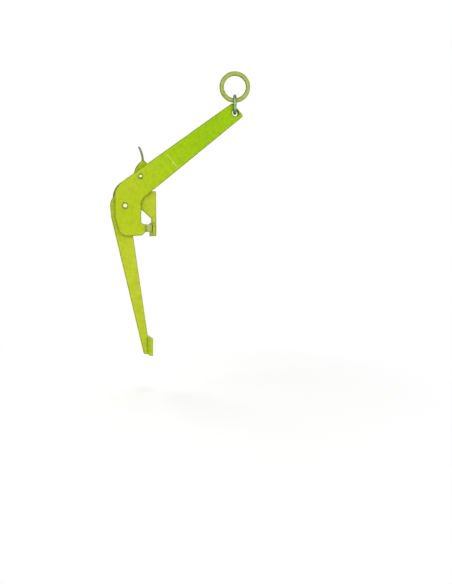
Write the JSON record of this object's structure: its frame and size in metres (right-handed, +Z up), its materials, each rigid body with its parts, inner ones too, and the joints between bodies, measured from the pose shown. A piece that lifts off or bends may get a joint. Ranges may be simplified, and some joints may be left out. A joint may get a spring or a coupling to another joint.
{
  "type": "drum lifter",
  "caption": "Rim-clamping drum lifter: a bent lever with an eye, link and ring closes a curved jaw on a hooked frame whose long leg leans on the drum; a spring latch holds it.",
  "frame": {"origin": "middle of the clamped drum wall between the two jaws, level with the top of the drum's rim", "axes": "+X from outside the drum towards its middle, +Y along the rim, +Z up"},
  "size_m": [0.4414, 0.072, 0.885],
  "materials": {
    "lever_paint": "satin lime paint, worn at its edges",
    "leg_paint": "satin yellow-green paint, worn at its edges",
    "olive_paint": "thin, rubbed yellow-green paint",
    "zinc_plate": "bright zinc plate",
    "dark_steel": "oiled black oxide",
    "spring_steel": "drawn spring wire"
  },
  "bodies": {
    "frame": {"frame_plate": "leg_paint", "pivot_bush": "dark_steel", "hook_pad": "leg_paint", "heel_pad": "lever_paint"},
    "lever": {"near_cheek": "lever_paint", "far_cheek": "lever_paint", "jaw_bar": "olive_paint", "cheek_rod": "lever_paint", "pivot_pin": "zinc_plate", "pivot_pin_rings": "dark_steel", "thrust_washers": "zinc_plate", "latch_pin": "zinc_plate", "latch_pin_rings": "dark_steel", "latch_spacers": "zinc_plate", "spring_stud": "zinc_plate", "latch_spring": "spring_steel"},
    "latch": {"latch_pawl": "lever_paint", "thumb_tab": "olive_paint", "latch_bush": "zinc_plate"},
    "link": {"chain_link": "zinc_plate"},
    "ring": {"lifting_ring": "olive_paint"}
  },
  "joints": [
    {"name": "lever_pivot", "type": "hinge", "parent": "frame", "child": "lever", "pos_m": [-0.08, 0, 0.036], "axis": [0, 1, 0], "range_deg": [-1.5, 22]},
    {"name": "latch_pivot", "type": "hinge", "parent": "lever", "child": "latch", "pos_m": [-0.033, 0, 0.1246], "axis": [0, 1, 0], "range_deg": [-5, 12], "stiffness_Nm_per_rad": 1.5, "springref_deg": -11.46, "deforming": ["latch_spring"]},
    {"name": "link_swing", "type": "hinge", "parent": "lever", "child": "link", "pos_m": [0.274, 0, 0.335], "axis": [0, 1, 0], "range_deg": [-40, 140]},
    {"name": "ring_tilt", "type": "hinge", "parent": "link", "child": "ring", "pos_m": [0.274, 0, 0.375], "axis": [0.9511, -0.309, 0], "range_deg": [-85, 85]}
  ]
}
